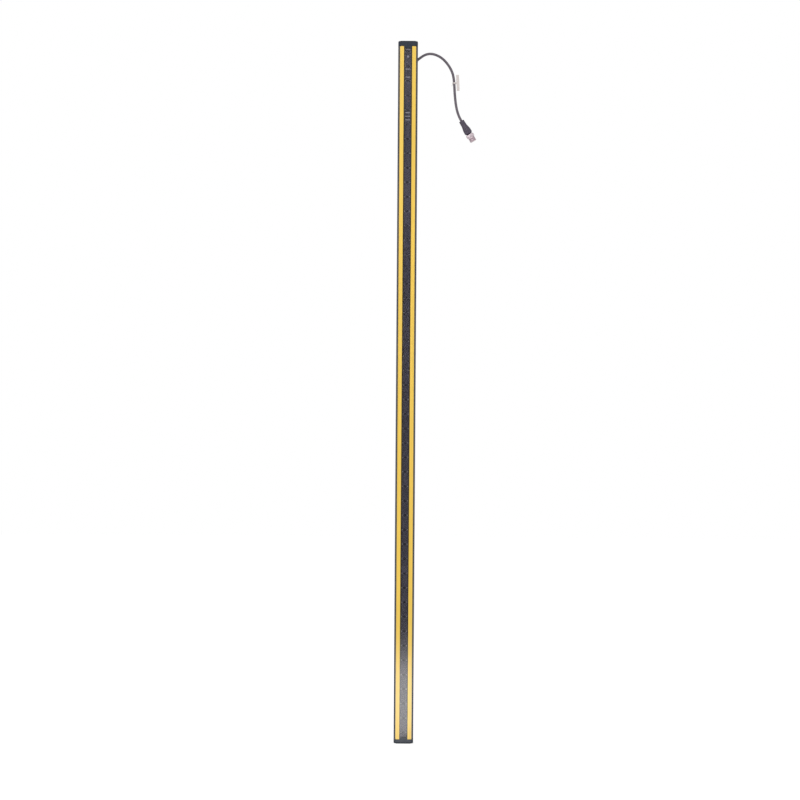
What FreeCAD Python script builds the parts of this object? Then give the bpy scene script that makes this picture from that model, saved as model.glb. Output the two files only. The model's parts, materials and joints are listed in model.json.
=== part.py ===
import FreeCAD, Part
import math
import os
from FreeCAD import Placement, Rotation, Vector

# One bar of a safety light curtain, in millimetres.
# X runs across the bar, Y from its front (the window, -Y) to its back, Z along it.
# The origin is the centre of the bottom end face.

# ---- Driving dimensions -------------------------------------------------------------------

# Protective field
beam_pitch = 25.0
module_cells = 12
module_count = 4
field_margin = 6.5

# Housing profile
housing_width = 34.0
housing_depth = 31.0
housing_wall = 2.0
edge_band = 3.2
corner_flat = 0.2
rear_corner_radius = 9.0

# Yellow strips, let into the sloping front lands of the profile
strip_thickness = 0.8
strip_drop = 0.7
strip_end_gap = 0.2
strip_end_radius = 1.2
strip_side_gap = 0.05

# Front window and its seat
window_width = 14.0
window_thickness = 2.0
window_recess = 0.5
window_edge_chamfer = 0.3
window_side_gap = 0.1
window_inset_top = 12.7
window_inset_bottom = 10.5
window_gasket_thickness = 0.5
window_gasket_width = 1.0
window_ledge = 1.9
ledge_web = 1.8

# T-slots for the mounting brackets, one along each side
slot_centre_y = -5.5
slot_mouth = 5.0
slot_lip = 1.6
slot_width = 8.0
slot_depth = 4.6
slot_web = 1.7

# End caps
cap_thickness_bottom = 6.9
cap_thickness_top = 8.7
cap_corner_radius = 4.0
cap_edge_radius = 3.0
cap_plug_depth = 3.0
cap_plug_gap = 0.5
cap_end_wall = 2.4
cap_side_wall = 2.0
tongue_gap = 0.2
end_gasket_thickness = 0.6
end_gasket_inset = 0.4

# Cap screws and the ports that they cut their thread in
cap_screw_shank_radius = 1.0
cap_screw_length = 16.0
cap_screw_head_radius = 2.2
cap_screw_head_height = 1.7
front_port_inset_x = 3.1
front_port_y = -11.8
rear_port_inset = 3.6
port_boss_radius = 2.5
thread_gap = 0.05
screw_gap = 0.25
head_sink = 0.5

# Beam boards and control board, held in grooves of the profile
board_thickness = 1.6
board_edge_gap = 0.3
groove_gap = 0.1
beam_board_y = 2.8
rail_thickness = 1.3
rail_reach = 1.8
board_divider = 1.5
module_joint = 0.3
board_link_size = (10.0, 2.2, 18.0)
board_link_latch = (6.0, 1.0, 8.0)
control_board_length = 130.0
control_board_inset = 0.7
board_header_width = 20.0
board_header_height = 5.0

# Parts on the control board: half width and span of each chip above the board's lower end,
# then the choke's sides and span, and the capacitor's place
chip_spans = [(7.0, 18.0, 32.0), (4.5, 42.0, 51.0)]
chip_thickness = 1.4
choke_box = (-6.0, -0.5, 4.0, 9.5)
choke_height = 3.2
capacitor_place = (4.5, 7.0)
capacitor_radius = 2.6
capacitor_height = 4.0

# Optics carriers and lens strips
carrier_side_gap = 0.3
carrier_front_wall = 1.2
carrier_side_wall = 1.8
carrier_web = 1.5
aperture_radius = 2.1
channel_radius = 3.4
lens_strip_width = 9.8
lens_plate_thickness = 1.0
lens_radius = 3.8
lens_height = 1.2
seat_gap = 0.1

# Beam diodes
diode_base_radius = 2.4
diode_base_height = 0.8
diode_dome_radius = 1.5
diode_dome_height = 1.2

# Status lights. Some bars lie beside a lens: its beam, counted from the top, and above (1) or
# below (-1) it. The other lights are placed in beam pitches below the top beam.
lens_bar_places = [(0, 1), (1, -1), (4, -1)]
lens_bar_gap = 0.1
free_bar_places = [1.744, 4.448, 4.696]
status_dot_places = [0.32]
power_dot_place = 3.4
power_dot_shift = 1.5
status_bar_length = 8.4
status_bar_height = 1.8
status_dot_radius = 2.0
power_dot_radius = 0.9
guide_stem_width = 1.8
guide_stem_height = 1.2
guide_stem_gap = 0.2
guide_head_thickness = 0.9
status_diode_height = 0.7
status_diode_width = 2.4

# Cable outlet on the back
outlet_depth_below_top = 46.4
outlet_width_left = 8.0
outlet_width_right = 10.0
outlet_height = 27.0
outlet_depth = 9.0
outlet_edge_radius = 1.5
outlet_gasket_thickness = 0.6
outlet_gasket_half_width = 7.4
outlet_gasket_margin = 1.2
spigot_radius = 4.0
spigot_hole_gap = 0.2
spigot_reach = 0.5
spigot_bore_radius = 2.6
outlet_screw_radius = 1.25
outlet_screw_head_radius = 2.75
outlet_screw_head_height = 2.0
outlet_screw_places = [(0.0, -10.2), (-4.2, 9.2)]
lead_header_width = 12.0
lead_header_height = 8.0
lead_header_depth = 2.8
lead_radius = 0.45
lead_circle = 1.7

# Cable and strain relief. The cable leaves the outlet to the right and upwards.
cable_diameter = 4.4
cable_first_run = 15.6
cable_last_run = 9.0
exit_angle = 43.0
exit_x = 6.5
exit_rise = 7.0
relief_length = 11.0
relief_root_length = 5.0
relief_flange_radius = 3.9
relief_flange_thickness = 1.6
relief_tip_radius = 2.9
relief_ring_count = 4
relief_groove = 0.5
relief_groove_length = 0.95

# M12 plug, along its own axis from the rear of the moulded body
plug_tilt = 31.2
grip_length = 26.9
grip_rear_radius = 4.6
grip_waist_radius = 4.9
grip_front_radius = 6.8
grip_rear_round = 0.7
grip_waist_place = 9.4
grip_bell_length = 7.0
grip_bell_ease = 4.6
grip_nose = 2.8
grip_flute_count = 10
grip_flute_radius = 1.1
grip_flute_depth = 0.5
grip_flute_length = 13.4
grip_front_land = 2.2
nut_gap = 0.3
collar_radius = 7.1
collar_length = 5.6
collar_flute_count = 24
collar_flute_radius = 0.45
collar_flute_depth = 0.32
thread_radius = 6.0
thread_length = 8.3
thread_chamfer = 0.5
nut_rear_wall = 3.8
nut_bore_radius = 5.2
nut_neck_radius = 4.65
insert_gap = 0.35
insert_collar_thickness = 2.1
insert_front_length = 1.6
o_ring_radius = 0.45
pin_radius = 0.4
pin_circle_radius = 2.75
pin_count = 8
pin_length = 7.0
pin_root = 1.0
key_width = 1.4
key_depth = 1.0

# Cable marker and its tie
tie_height = 2.6
tie_thickness = 0.8
tie_head = 3.6
tie_tail_length = 5.0
tie_tail_angle = 20.0
tie_below_bend = 10.6
marker_offset = 1.6
marker_width = 5.0
marker_height = 28.0
marker_thickness = 1.0

# ---- Places worked out from the driving dimensions ------------------------------------------

total_length = beam_pitch * module_cells * module_count + 2 * field_margin
half_width = housing_width / 2
front = -housing_depth / 2
rear = housing_depth / 2
profile_bottom = cap_thickness_bottom + end_gasket_thickness
profile_top = total_length - cap_thickness_top - end_gasket_thickness

window_half = window_width / 2
recess_half = window_half + window_side_gap
throat_half = recess_half - window_ledge
window_front = front + window_recess
window_back = window_front + window_thickness
ledge_y = window_back + window_gasket_thickness
cavity_front = ledge_y + ledge_web
window_bottom = window_inset_bottom
window_top = total_length - window_inset_top

strip_outer = half_width - edge_band
shoulder_y = front + strip_drop
corner_radius = edge_band - corner_flat

cavity_half = half_width - slot_depth - housing_wall
cavity_step = slot_centre_y + slot_width / 2 + slot_web
rear_half = half_width - housing_wall
rear_inner = rear - housing_wall
rear_arc_x = half_width - rear_corner_radius
rear_arc_y = rear - rear_corner_radius

board_gap_end = cap_plug_depth + module_joint
beam_board_rear = beam_board_y + board_thickness
control_board_y = beam_board_rear + board_divider + 2 * groove_gap
control_board_rear = control_board_y + board_thickness
beam_board_half = rear_half - board_edge_gap
control_board_half = rear_half - control_board_inset

port_radius = cap_screw_shank_radius + thread_gap
front_port = (half_width - front_port_inset_x, front_port_y)
rear_port_y = control_board_rear + groove_gap + port_boss_radius
rear_port_reach = rear_corner_radius - rear_port_inset
rear_port_x = rear_arc_x + math.sqrt(rear_port_reach**2 - (rear_port_y - rear_arc_y) ** 2)
rear_port = (rear_port_x, rear_port_y)
ports = [(side * x, y) for x, y in (front_port, rear_port) for side in (-1, 1)]

lens_rear = cavity_front + seat_gap
lens_front = lens_rear - lens_plate_thickness
carrier_front = lens_rear
carrier_half = cavity_half - carrier_side_gap
carrier_rear = beam_board_y - groove_gap
module_length = beam_pitch * module_cells

outlet_z = total_length - outlet_depth_below_top
outlet_front = rear + outlet_gasket_thickness
outlet_back = outlet_front + outlet_depth
cable_y = outlet_front + outlet_depth / 2
cable_radius = cable_diameter / 2
exit_direction = Vector(math.cos(math.radians(exit_angle)), 0, math.sin(math.radians(exit_angle)))
exit_point = Vector(exit_x, cable_y, outlet_z + exit_rise)
cable_start = exit_point + exit_direction * relief_length

plug_axis = Vector(math.sin(math.radians(plug_tilt)), 0, -math.cos(math.radians(plug_tilt)))


# ---- Shapes used by several pieces ------------------------------------------------------------


def rectangle(x0, x1, y0, y1):
    """Flat rectangle in the XY plane."""
    return Part.makePlane(x1 - x0, y1 - y0, Vector(x0, y0, 0))


def side_rectangle(side, inner, outer, y0, y1):
    """Flat rectangle between two distances from the middle, on the right (1) or left (-1)."""
    x0, x1 = sorted((side * inner, side * outer))
    return rectangle(x0, x1, y0, y1)


def disc(x, y, radius):
    """Flat disc in the XY plane."""
    return Part.Face(Part.Wire(Part.makeCircle(radius, Vector(x, y, 0))))


def block(x0, x1, y0, y1, z0, z1):
    """Box between two opposite corners."""
    return Part.makeBox(x1 - x0, y1 - y0, z1 - z0, Vector(x0, y0, z0))


def path(start, *steps):
    """Edges through points; each step is an end point, or a (point on the arc, end point) pair."""
    here = Vector(*start, 0)
    edges = []
    for step in steps:
        if isinstance(step[0], tuple):
            middle, end = (Vector(*point, 0) for point in step)
            edges.append(Part.Arc(here, middle, end).toShape())
        else:
            end = Vector(*step, 0)
            edges.append(Part.makeLine(here, end))
        here = end
    return edges


def symmetric_face(start, *steps):
    """Flat face whose right half runs from start to the last step, both on the Y axis."""
    right = path(start, *steps)
    left = [edge.mirror(Vector(0, 0, 0), Vector(1, 0, 0)) for edge in right]
    return Part.Face(Part.Wire(Part.sortEdges(right + left)[0]))


def arc_middle(centre_x, centre_y, radius, degrees):
    """Point on a circle, at an angle from +X."""
    angle = math.radians(degrees)
    return (centre_x + radius * math.cos(angle), centre_y + radius * math.sin(angle))


def extrude(face, z0, z1):
    """The face carried from z0 to z1."""
    return face.translated(Vector(0, 0, z0)).extrude(Vector(0, 0, z1 - z0))


def turned(profile, base, direction):
    """Solid of revolution from (radius, station) pairs, set with its foot at base."""
    points = [Vector(radius, 0, station) for radius, station in profile]
    face = Part.Face(Part.makePolygon(points + points[:1]))
    solid = face.revolve(Vector(0, 0, 0), Vector(0, 0, 1), 360)
    solid.Placement = Placement(base, Rotation(Vector(0, 0, 1), direction))
    return solid


def rod(x, y0, y1, z, radius):
    """Cylinder along Y, from y0 to y1."""
    return Part.makeCylinder(radius, y1 - y0, Vector(x, y0, z), Vector(0, 1, 0))


def rounded_outline(inset, front_radius):
    """Outline of the bar's ends: rounded front corners and large rear ones."""
    side = half_width - inset
    front_line = front + inset
    rear_line = rear - inset
    rear_radius = rear_corner_radius - inset
    front_x = side - front_radius
    front_y = front_line + front_radius
    rear_x = side - rear_radius
    rear_y = rear_line - rear_radius
    return symmetric_face(
        (0, front_line),
        (front_x, front_line),
        (arc_middle(front_x, front_y, front_radius, -45), (side, front_y)),
        (side, rear_y),
        (arc_middle(rear_x, rear_y, rear_radius, 45), (rear_x, rear_line)),
        (0, rear_line),
    )


def beam_heights(module):
    """Heights of a module's beams."""
    first = field_margin + beam_pitch / 2 + module * module_length
    return [first + cell * beam_pitch for cell in range(module_cells)]


def module_span(module):
    """Bottom and top of a module, short of its neighbours and of the end caps' plugs."""
    low = field_margin + module * module_length + module_joint / 2
    high = field_margin + (module + 1) * module_length - module_joint / 2
    lowest = profile_bottom + board_gap_end
    highest = profile_top - board_gap_end
    return max(low, lowest), min(high, highest)


def save(name, shape):
    """Write one piece to its own STEP file."""
    shape.exportStep("parts/" + name + ".step")


# ---- Housing ------------------------------------------------------------------------------------


def housing_section():
    """Cross-section of the extrusion, with its window seat, T-slots, grooves and screw ports."""
    corner_x = half_width - corner_radius
    corner_y = shoulder_y + corner_radius
    outer = symmetric_face(
        (0, front + strip_thickness),
        (recess_half, front + strip_thickness),
        (strip_outer, shoulder_y + strip_thickness),
        (strip_outer, shoulder_y),
        (corner_x, shoulder_y),
        (arc_middle(corner_x, corner_y, corner_radius, -45), (half_width, corner_y)),
        (half_width, rear_arc_y),
        (arc_middle(rear_arc_x, rear_arc_y, rear_corner_radius, 45), (rear_arc_x, rear)),
        (0, rear),
    )
    inner_radius = rear_corner_radius - housing_wall
    rear_cavity = symmetric_face(
        (0, cavity_step),
        (rear_half, cavity_step),
        (rear_half, rear_arc_y),
        (arc_middle(rear_arc_x, rear_arc_y, inner_radius, 45), (rear_arc_x, rear_inner)),
        (0, rear_inner),
    )
    rail_x = rear_half - rail_reach
    rail_rear = beam_board_y - groove_gap
    divider_front = beam_board_rear + groove_gap
    lip_inner = half_width - slot_lip
    mouth_y = slot_centre_y - slot_mouth / 2
    slot_y = slot_centre_y - slot_width / 2
    ribs = []
    slots = []
    for side in (-1, 1):
        ribs.append(side_rectangle(side, rail_x, half_width, rail_rear - rail_thickness, rail_rear))
        ribs.append(side_rectangle(side, rail_x, half_width, divider_front, divider_front + board_divider))
        ribs.append(disc(side * rear_port_x, rear_port_y, port_boss_radius))
        slots.append(side_rectangle(side, lip_inner - 1, half_width + 1, mouth_y, mouth_y + slot_mouth))
        slots.append(side_rectangle(side, half_width - slot_depth, lip_inner, slot_y, slot_y + slot_width))
    hollows = [
        rectangle(-recess_half, recess_half, front - 1, ledge_y),
        rectangle(-throat_half, throat_half, ledge_y - 1, cavity_front + 1),
        rectangle(-cavity_half, cavity_half, cavity_front, cavity_step + 1),
        rear_cavity.cut(ribs),
    ]
    return outer.cut(hollows + slots + [disc(x, y, port_radius) for x, y in ports])


def outlet_screw_axes():
    """Places of the outlet's screws on the back face."""
    return [Vector(x, 0, outlet_z + z) for x, z in outlet_screw_places]


def make_housing():
    """Aluminium extrusion with the holes for the cable outlet."""
    body = extrude(housing_section(), profile_bottom, profile_top)
    inside = rear_inner - 1
    outside = rear + 1
    drills = [rod(0, inside, outside, outlet_z, spigot_radius + spigot_hole_gap)]
    for axis in outlet_screw_axes():
        drills.append(rod(axis.x, inside, outside, axis.z, outlet_screw_radius + thread_gap))
    return body.cut(drills)


def make_strip(side):
    """Yellow strip on one sloping land, its outer end corners rounded."""
    inner = recess_half
    outer = strip_outer - strip_side_gap
    run = strip_outer - recess_half
    outer_drop = strip_drop * (outer - inner) / run
    corners = [
        Vector(inner, front, 0),
        Vector(outer, front + outer_drop, 0),
        Vector(outer, front + outer_drop + strip_thickness, 0),
        Vector(inner, front + strip_thickness, 0),
    ]
    face = Part.Face(Part.makePolygon(corners + corners[:1]))
    strip = extrude(face, profile_bottom + strip_end_gap, profile_top - strip_end_gap)
    end_edges = [
        edge
        for edge in strip.Edges
        if edge.BoundBox.XMin > outer - 1e-6 and edge.BoundBox.ZLength < 1e-6
    ]
    strip = strip.makeFillet(strip_end_radius, end_edges)
    if side < 0:
        strip = strip.mirror(Vector(0, 0, 0), Vector(1, 0, 0))
    return strip


def make_window():
    """Dark tinted pane with its two long front edges broken."""
    pane = block(-window_half, window_half, window_front, window_back, window_bottom, window_top)
    long_edges = [
        edge
        for edge in pane.Edges
        if edge.Length > window_top - window_bottom - 1 and abs(edge.Vertexes[0].Y - window_front) < 1e-6
    ]
    return pane.makeChamfer(window_edge_chamfer, long_edges)


def make_window_gasket():
    """Flat frame between the window and its ledge."""
    outer = block(-window_half, window_half, window_back, ledge_y, window_bottom, window_top)
    inner_half = window_half - window_gasket_width
    inner = block(
        -inner_half,
        inner_half,
        window_back - 1,
        ledge_y + 1,
        window_bottom + window_gasket_width,
        window_top - window_gasket_width,
    )
    return outer.cut(inner)


# ---- End caps -----------------------------------------------------------------------------------


def end_frame(shape, top):
    """A piece drawn for the bottom end, turned over for the top end if asked."""
    if not top:
        return shape
    return shape.mirror(Vector(0, 0, total_length / 2), Vector(0, 0, 1))


def make_end_cap(thickness, window_inset, top):
    """Moulded cap: rounded plate, hollow plug into the profile and a tongue over the window's end."""
    plate = extrude(rounded_outline(0, cap_corner_radius), 0, thickness)
    rim = [edge for edge in plate.Edges if edge.BoundBox.ZMax < 1e-6]
    plate = plate.makeFillet(cap_edge_radius, rim)
    plug_half = cavity_half - cap_plug_gap
    plug_front = cavity_front + cap_plug_gap
    plug_rear = cavity_step - cap_plug_gap
    plug_top = thickness + end_gasket_thickness + cap_plug_depth
    plug = block(-plug_half, plug_half, plug_front, plug_rear, thickness, plug_top)
    tongue = block(
        -window_half,
        window_half,
        front + tongue_gap,
        ledge_y - tongue_gap,
        thickness,
        window_inset - tongue_gap,
    )
    pocket = block(
        -plug_half + cap_side_wall,
        plug_half - cap_side_wall,
        plug_front + cap_side_wall,
        plug_rear - cap_side_wall,
        cap_end_wall,
        plug_top + 1,
    )
    head_depth = cap_screw_head_height + head_sink
    bores = []
    for x, y in ports:
        bores.append(extrude(disc(x, y, cap_screw_shank_radius + screw_gap), 0, thickness))
        bores.append(extrude(disc(x, y, cap_screw_head_radius + screw_gap), 0, head_depth))
    return end_frame(plate.fuse([plug, tongue]).cut([pocket] + bores), top)


def make_end_gasket(thickness, top):
    """Flat rubber ring between a cap and the profile's end, open for the plug and the tongue."""
    face = rounded_outline(end_gasket_inset, cap_corner_radius)
    opening_half = rear_port_x - port_boss_radius
    openings = [
        rectangle(-recess_half - tongue_gap, recess_half + tongue_gap, front - 1, ledge_y),
        rectangle(-cavity_half, cavity_half, cavity_front, cavity_step),
        rectangle(-opening_half, opening_half, cavity_step - 1, rear_inner),
        rectangle(-half_width, half_width, front - 1, shoulder_y + strip_thickness),
    ]
    openings += [disc(x, y, cap_screw_shank_radius + screw_gap) for x, y in ports]
    ring = extrude(face.cut(openings), thickness, thickness + end_gasket_thickness)
    return end_frame(ring, top)


def make_screw(base, direction, shank_radius, head_radius, head_height, length):
    """Socket-head screw whose head starts at base and whose shank runs along direction."""
    screw = turned(
        [
            (0, 0),
            (head_radius, 0),
            (head_radius, head_height),
            (shank_radius, head_height),
            (shank_radius, length),
            (0, length),
        ],
        base,
        direction,
    )
    corners = [
        Vector(*arc_middle(0, 0, head_radius / 2, 60 * corner), 0) for corner in range(6)
    ]
    socket = Part.Face(Part.makePolygon(corners + corners[:1])).extrude(Vector(0, 0, head_height / 2))
    socket.Placement = Placement(base, Rotation(Vector(0, 0, 1), direction))
    return screw.cut(socket)


def make_cap_screws(top):
    """Four screws of one cap."""
    screws = [
        make_screw(
            Vector(x, y, head_sink),
            Vector(0, 0, 1),
            cap_screw_shank_radius,
            cap_screw_head_radius,
            cap_screw_head_height,
            cap_screw_length,
        )
        for x, y in ports
    ]
    return end_frame(Part.makeCompound(screws), top)


# ---- Optics -------------------------------------------------------------------------------------


def below_top_beam(pitches):
    """Height at so many beam pitches below the top beam."""
    return total_length - field_margin - beam_pitch * (0.5 + pitches)


def status_heights():
    """Heights of the status bars, the round lights and the power light."""
    beside = lens_radius + lens_bar_gap + status_bar_height / 2
    bars = [below_top_beam(beam) + side * beside for beam, side in lens_bar_places]
    bars += [below_top_beam(place) for place in free_bar_places]
    dots = [below_top_beam(place) for place in status_dot_places]
    return bars, dots, below_top_beam(power_dot_place)


def guide_stems(gap):
    """Stems of all light guides, each as (x, height, half width, half height) with a gap around."""
    bars, dots, power = status_heights()
    half_w = guide_stem_width / 2 + gap
    half_h = guide_stem_height / 2 + gap
    centred = [(0, z, half_w, half_h) for z in bars + dots]
    return centred + [(power_dot_shift, power, half_h, half_h)]


def stem_holes(module, y0, y1):
    """Holes for the light guides' stems in the pieces of one module."""
    low, high = module_span(module)
    return [
        block(x - half_w, x + half_w, y0, y1, z - half_h, z + half_h)
        for x, z, half_w, half_h in guide_stems(guide_stem_gap)
        if low < z < high
    ]


def make_lens_strip(module):
    """Clear strip with one domed lens for each beam."""
    low, high = module_span(module)
    strip_half = lens_strip_width / 2
    plate = block(-strip_half, strip_half, lens_front, lens_rear, low, high)
    sphere_radius = (lens_radius**2 + lens_height**2) / (2 * lens_height)
    root = lens_plate_thickness / 2
    half_angle = math.asin(lens_radius / sphere_radius) / 2
    middle = Vector(
        sphere_radius * math.sin(half_angle), 0, lens_height - sphere_radius * (1 - math.cos(half_angle))
    )
    edges = [
        Part.Arc(Vector(0, 0, lens_height), middle, Vector(lens_radius, 0, 0)).toShape(),
        Part.makeLine(Vector(lens_radius, 0, 0), Vector(lens_radius, 0, -root)),
        Part.makeLine(Vector(lens_radius, 0, -root), Vector(0, 0, -root)),
        Part.makeLine(Vector(0, 0, -root), Vector(0, 0, lens_height)),
    ]
    dome = Part.Face(Part.Wire(edges)).revolve(Vector(0, 0, 0), Vector(0, 0, 1), 360)
    domes = []
    for z in beam_heights(module):
        lens = dome.copy()
        lens.Placement = Placement(Vector(0, lens_front, z), Rotation(Vector(0, 0, 1), Vector(0, -1, 0)))
        domes.append(lens)
    strip = plate.fuse(domes)
    holes = stem_holes(module, lens_front - 1, lens_rear + 1)
    return strip.cut(holes) if holes else strip


def make_carrier(module):
    """Black moulding: front wall with apertures, a light channel behind each, ribs and open pockets."""
    low, high = module_span(module)
    body = block(-carrier_half, carrier_half, carrier_front, carrier_rear, low, high)
    pocket_half = carrier_half - carrier_side_wall
    pocket_front = carrier_front + carrier_front_wall
    rib_rear = carrier_rear - diode_base_height - diode_dome_height
    tube_half = channel_radius + carrier_web
    heights = beam_heights(module)
    pocket_starts = [low - 1] + [z + tube_half for z in heights]
    pocket_ends = [z - tube_half for z in heights] + [high + 1]
    cuts = [block(-pocket_half, pocket_half, rib_rear, carrier_rear + 1, low - 1, high + 1)]
    for start, end in zip(pocket_starts, pocket_ends):
        cuts.append(block(-pocket_half, pocket_half, pocket_front, rib_rear + 1, start, end))
    for z in heights:
        cuts.append(rod(0, carrier_front - 1, pocket_front + 1, z, aperture_radius))
        cuts.append(rod(0, pocket_front, carrier_rear, z, channel_radius))
    return body.cut(cuts + stem_holes(module, carrier_front - 1, carrier_rear + 1))


def make_beam_board(module):
    """Circuit board of one module, in the profile's front grooves."""
    low, high = module_span(module)
    return block(-beam_board_half, beam_board_half, beam_board_y, beam_board_rear, low, high)


def make_diodes(module):
    """Emitting or receiving diodes of one module, each on its beam's axis."""
    diodes = []
    for z in beam_heights(module):
        diodes.append(
            turned(
                [
                    (0, 0),
                    (diode_base_radius, 0),
                    (diode_base_radius, diode_base_height),
                    (diode_dome_radius, diode_base_height),
                    (diode_dome_radius, diode_base_height + diode_dome_height / 2),
                    (diode_dome_radius / 2, diode_base_height + diode_dome_height),
                    (0, diode_base_height + diode_dome_height),
                ],
                Vector(0, beam_board_y, z),
                Vector(0, -1, 0),
            )
        )
    return Part.makeCompound(diodes)


def make_board_links():
    """Low connectors that bridge neighbouring beam boards on their backs."""
    links = []
    for joint in range(1, module_count):
        z = field_margin + joint * module_length
        surface = beam_board_rear
        parts = []
        for width, depth, height in (board_link_size, board_link_latch):
            parts.append(
                block(-width / 2, width / 2, surface, surface + depth, z - height / 2, z + height / 2)
            )
            surface += depth
        links.append(parts[0].fuse(parts[1]))
    return Part.makeCompound(links)


def make_status_guides():
    """Light guides of the status lights: heads behind the window, stems back to the boards."""
    bars, dots, _ = status_heights()
    head_front = lens_front - guide_head_thickness
    tip = beam_board_y - status_diode_height - groove_gap
    guides = []
    for z in bars:
        head = block(
            -status_bar_length / 2,
            status_bar_length / 2,
            head_front,
            lens_front,
            z - status_bar_height / 2,
            z + status_bar_height / 2,
        )
        guides.append((head, z))
    for z in dots:
        guides.append((rod(0, head_front, lens_front, z, status_dot_radius), z))
    pieces = []
    for head, z in guides:
        stem = block(
            -guide_stem_width / 2,
            guide_stem_width / 2,
            lens_front - guide_head_thickness / 2,
            tip,
            z - guide_stem_height / 2,
            z + guide_stem_height / 2,
        )
        pieces.append(head.fuse(stem).removeSplitter())
    return Part.makeCompound(pieces)


def make_power_guide():
    """Small round light guide of the power light."""
    _, _, z = status_heights()
    head_front = lens_front - guide_head_thickness
    half = guide_stem_height / 2
    head = rod(power_dot_shift, head_front, lens_front, z, power_dot_radius)
    stem = block(
        power_dot_shift - half,
        power_dot_shift + half,
        head_front + guide_head_thickness / 2,
        beam_board_y - status_diode_height - groove_gap,
        z - half,
        z + half,
    )
    return head.fuse(stem).removeSplitter()


def make_status_diodes():
    """Small flat diodes on the top board, one behind each light guide."""
    half = status_diode_width / 2
    diode_front = beam_board_y - status_diode_height
    diodes = []
    for x, z, _, _ in guide_stems(0):
        diodes.append(block(x - half, x + half, diode_front, beam_board_y, z - half / 2, z + half / 2))
    return Part.makeCompound(diodes)


# ---- Control electronics ----------------------------------------------------------------------


def control_board_top():
    """Upper end of the control board, level with the top module."""
    return module_span(module_count - 1)[1]


def make_control_board():
    """Second board, in the rear grooves at the top of the profile."""
    top = control_board_top()
    low = top - control_board_length
    return block(-control_board_half, control_board_half, control_board_y, control_board_rear, low, top)


def make_board_header():
    """Pin header that joins the control board to the top beam board."""
    z = control_board_top() - control_board_length / 2
    half_width_here = board_header_width / 2
    low = z - board_header_height / 2
    high = z + board_header_height / 2
    return block(-half_width_here, half_width_here, beam_board_rear, control_board_y, low, high)


def make_control_parts():
    """Larger parts on the back of the control board: two chips, a choke and a capacitor."""
    low = control_board_top() - control_board_length
    surface = control_board_rear
    parts = [
        block(-half, half, surface, surface + chip_thickness, low + start, low + end)
        for half, start, end in chip_spans
    ]
    left, right, start, end = choke_box
    parts.append(block(left, right, surface, surface + choke_height, low + start, low + end))
    x, z = capacitor_place
    parts.append(rod(x, surface, surface + capacitor_height, low + z, capacitor_radius))
    return Part.makeCompound(parts)


def lead_places():
    """Places of the conductors around the outlet's axis, one at its centre."""
    ring = pin_count - 1
    return [(0, outlet_z)] + [arc_middle(0, outlet_z, lead_circle, 360 * lead / ring) for lead in range(ring)]


def make_lead_header():
    """Terminal block that takes the cable's conductors on the control board."""
    side = lead_header_width / 2
    rear_face = control_board_rear + lead_header_depth
    low = outlet_z - lead_header_height / 2
    high = outlet_z + lead_header_height / 2
    return block(-side, side, control_board_rear, rear_face, low, high)


def make_inner_leads():
    """The cable's conductors between the terminal block and the outlet's bore."""
    start = control_board_rear + lead_header_depth
    return Part.makeCompound([rod(x, start, cable_y, z, lead_radius) for x, z in lead_places()])


# ---- Cable outlet -------------------------------------------------------------------------------


def along_facet(distance):
    """Step along the outlet's slanted facet, to the right and down."""
    return Vector(exit_direction.z, 0, -exit_direction.x) * distance


def make_outlet():
    """Moulded outlet on the back: slanted facet for the strain relief, spigot through the wall."""
    low = outlet_z - outlet_height / 2
    high = outlet_z + outlet_height / 2
    lower = exit_point + along_facet((outlet_width_right - exit_point.x) / exit_direction.z)
    upper = exit_point - along_facet((high - exit_point.z) / exit_direction.x)
    corners = [
        Vector(-outlet_width_left, outlet_front, low),
        Vector(outlet_width_right, outlet_front, low),
        Vector(outlet_width_right, outlet_front, lower.z),
        Vector(upper.x, outlet_front, high),
        Vector(-outlet_width_left, outlet_front, high),
    ]
    body = Part.Face(Part.makePolygon(corners + corners[:1])).extrude(Vector(0, outlet_depth, 0))
    back_edges = [edge for edge in body.Edges if edge.BoundBox.YMin > outlet_back - 1e-6]
    body = body.makeFillet(outlet_edge_radius, back_edges)
    spigot_end = rear_inner - spigot_reach
    centre = Vector(0, cable_y, outlet_z)
    inlet = exit_point - centre
    cuts = [
        rod(0, spigot_end, cable_y, outlet_z, spigot_bore_radius),
        Part.makeSphere(spigot_bore_radius, centre),
        Part.makeCylinder(cable_radius + seat_gap, inlet.Length, exit_point, exit_direction * -1),
    ]
    head_seat = outlet_back - outlet_screw_head_height - head_sink
    for axis in outlet_screw_axes():
        cuts.append(rod(axis.x, outlet_front - 1, outlet_back, axis.z, outlet_screw_radius + screw_gap))
        cuts.append(rod(axis.x, head_seat, outlet_back + 1, axis.z, outlet_screw_head_radius + screw_gap))
    spigot = rod(0, spigot_end, outlet_front, outlet_z, spigot_radius)
    return body.fuse(spigot).cut(cuts)


def make_outlet_gasket():
    """Flat gasket under the outlet, with holes for the spigot and the screws."""
    half_height = outlet_height / 2 - outlet_gasket_margin
    plate = block(
        -outlet_gasket_half_width,
        outlet_gasket_half_width,
        rear,
        outlet_front,
        outlet_z - half_height,
        outlet_z + half_height,
    )
    holes = [rod(0, rear - 1, outlet_front + 1, outlet_z, spigot_radius + spigot_hole_gap)]
    for axis in outlet_screw_axes():
        holes.append(rod(axis.x, rear - 1, outlet_front + 1, axis.z, outlet_screw_radius + screw_gap))
    return plate.cut(holes)


def make_outlet_screws():
    """Two screws through the outlet into the housing's back wall."""
    head_top = outlet_back - head_sink
    length = head_top - rear_inner + spigot_reach
    return Part.makeCompound(
        [
            make_screw(
                Vector(axis.x, head_top, axis.z),
                Vector(0, -1, 0),
                outlet_screw_radius,
                outlet_screw_head_radius,
                outlet_screw_head_height,
                length,
            )
            for axis in outlet_screw_axes()
        ]
    )


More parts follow.
